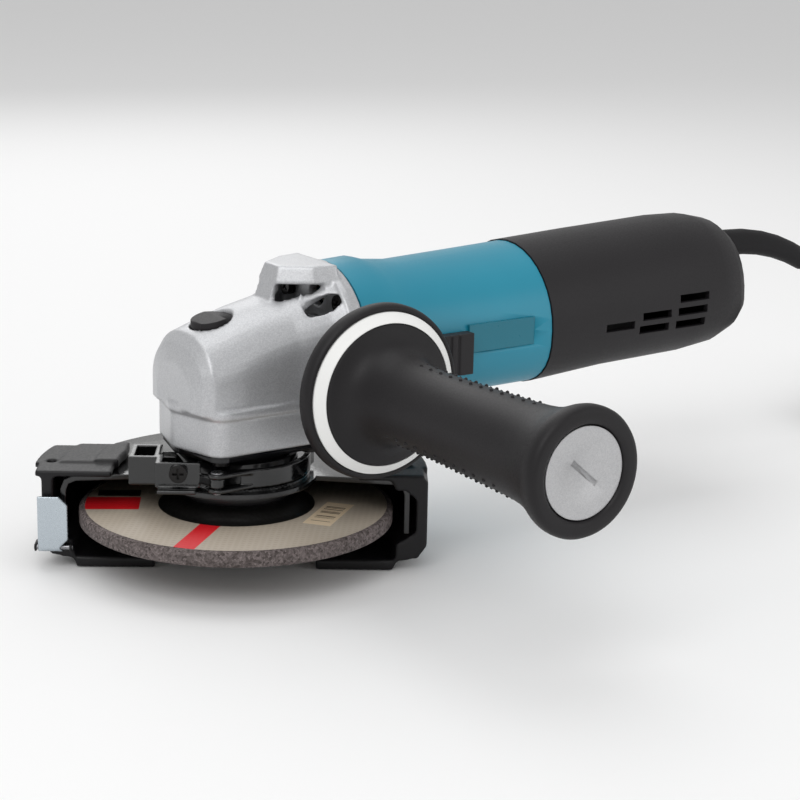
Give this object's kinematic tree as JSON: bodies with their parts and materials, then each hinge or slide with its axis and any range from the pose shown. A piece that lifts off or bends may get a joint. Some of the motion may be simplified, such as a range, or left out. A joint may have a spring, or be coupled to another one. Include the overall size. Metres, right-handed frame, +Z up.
{
  "type": "angle grinder",
  "caption": "Corded angle grinder with slide switch, spindle lock, side handle, turning wheel guard with clamp lever, clip-on cutting cover and a bonded wheel",
  "frame": {"origin": "free end of the spindle, on the spindle's axis", "axes": "+X along the motor from the nose to the cord, +Z up the spindle away from the wheel, the side handle on -Y"},
  "size_m": [0.5418, 0.2582, 0.1221],
  "materials": {
    "cast_alloy": "silver paint on a die casting, satin",
    "black_casting": "black paint on a die casting, satin",
    "black_screw": "blackened steel",
    "teal_shell": "glass-filled nylon, fine satin",
    "black_shell": "glass-filled nylon, matte",
    "plate": "blank printed foil, gloss",
    "lamination": "stacked silicon steel",
    "copper_wire": "varnished copper wire",
    "brass": "plain brass sheet",
    "carbon": "pressed carbon",
    "spring_steel": "drawn wire",
    "inner_plastic": "moulded plastic, matte",
    "fan_plastic": "moulded nylon",
    "cord_rubber": "soft black rubber, matte",
    "plug_plastic": "moulded plastic, matte",
    "plug_nickel": "nickel-plated brass",
    "bearing_steel": "ground steel",
    "machine_steel": "turned steel",
    "gear_steel": "cut and hardened steel, oiled",
    "blackened_steel": "blackened steel",
    "abrasive": "resin-bonded grit with a printed face",
    "guard_paint": "gloss black powder coat on steel",
    "cover_plastic": "tough black plastic, fine grain",
    "latch_steel": "bright zinc plate",
    "handle_rubber": "soft rubber over plastic, matte",
    "white_ring": "white plastic",
    "cap_metal": "silver paint, fine metallic"
  },
  "bodies": {
    "machine": {"gear_housing": "cast_alloy", "bearing_box": "black_casting", "box_screws": "black_screw", "housing_screws": "black_screw", "motor_housing": "teal_shell", "rear_cover": "black_shell", "cover_screw": "black_screw", "label_plate": "plate", "field_core": "lamination", "field_coils": "copper_wire", "brush_holders": "brass", "carbon_brushes": "carbon", "brush_springs": "spring_steel", "switch_block": "inner_plastic", "air_baffle": "inner_plastic", "cord_clamp": "inner_plastic", "cord_guard": "cord_rubber", "lock_spring": "spring_steel", "upper_bearing": "bearing_steel", "lower_bearing": "bearing_steel", "front_bearing": "bearing_steel", "rear_bearing": "bearing_steel", "handle_stud": "machine_steel", "handle_collar": "handle_rubber", "handle_grip": "handle_rubber", "handle_ring": "white_ring", "handle_cap": "cap_metal", "cord_lead": "cord_rubber", "cord_coil": "cord_rubber", "plug_boot": "cord_rubber", "plug_body": "plug_plastic", "plug_pins": "plug_nickel"},
    "spindle_set": {"spindle": "machine_steel", "bevel_gear": "gear_steel", "inner_flange": "blackened_steel", "grinding_wheel": "abrasive", "lock_nut": "blackened_steel"},
    "armature": {"armature_shaft": "machine_steel", "armature_core": "lamination", "armature_windings": "copper_wire", "commutator": "copper_wire", "fan": "fan_plastic", "pinion": "gear_steel"},
    "guard": {"guard_shell": "guard_paint", "guard_collar": "guard_paint", "guard_bracket": "guard_paint", "clamp_screw": "black_screw", "lever_pin": "machine_steel", "cutting_cover": "cover_plastic", "latch_pin": "machine_steel"},
    "lever": {"clamp_lever": "guard_paint"},
    "latch": {"cover_latch": "latch_steel"},
    "switch": {"switch_knob": "black_shell", "switch_rod": "black_shell"},
    "spindle_lock": {"lock_button": "black_shell", "lock_pin": "machine_steel"}
  },
  "joints": [
    {"name": "spindle_spin", "type": "hinge", "parent": "machine", "child": "spindle_set", "pos_m": [0, 0, 0], "axis": [0, 0, 1], "continuous": true},
    {"name": "armature_spin", "type": "hinge", "parent": "machine", "child": "armature", "pos_m": [0, 0, 0.0707], "axis": [1, 0, 0], "continuous": true},
    {"name": "guard_turn", "type": "hinge", "parent": "machine", "child": "guard", "pos_m": [0, 0, 0.025], "axis": [0, 0, 1], "range_deg": [-100, 95]},
    {"name": "lever_open", "type": "hinge", "parent": "guard", "child": "lever", "pos_m": [-0.02286, -0.02474, 0.027], "axis": [0, 0, -1], "range_deg": [0, 40]},
    {"name": "latch_open", "type": "hinge", "parent": "guard", "child": "latch", "pos_m": [-0.06628, 0.02647, -0.0061], "axis": [0.8387, -0.5446, 0], "range_deg": [0, 90]},
    {"name": "switch_slide", "type": "slide", "parent": "machine", "child": "switch", "axis": [-1, 0, 0], "range_m": [0, 0.006]},
    {"name": "lock_press", "type": "slide", "parent": "machine", "child": "spindle_lock", "axis": [0, 0, -1], "range_m": [0, 0.0035], "stiffness_N_per_m": 800, "springref_m": -0.002, "deforming": ["lock_spring"]}
  ],
  "couplings": [
    {"joint": "armature_spin", "follows": "spindle_spin", "ratio": 3.3636}
  ]
}
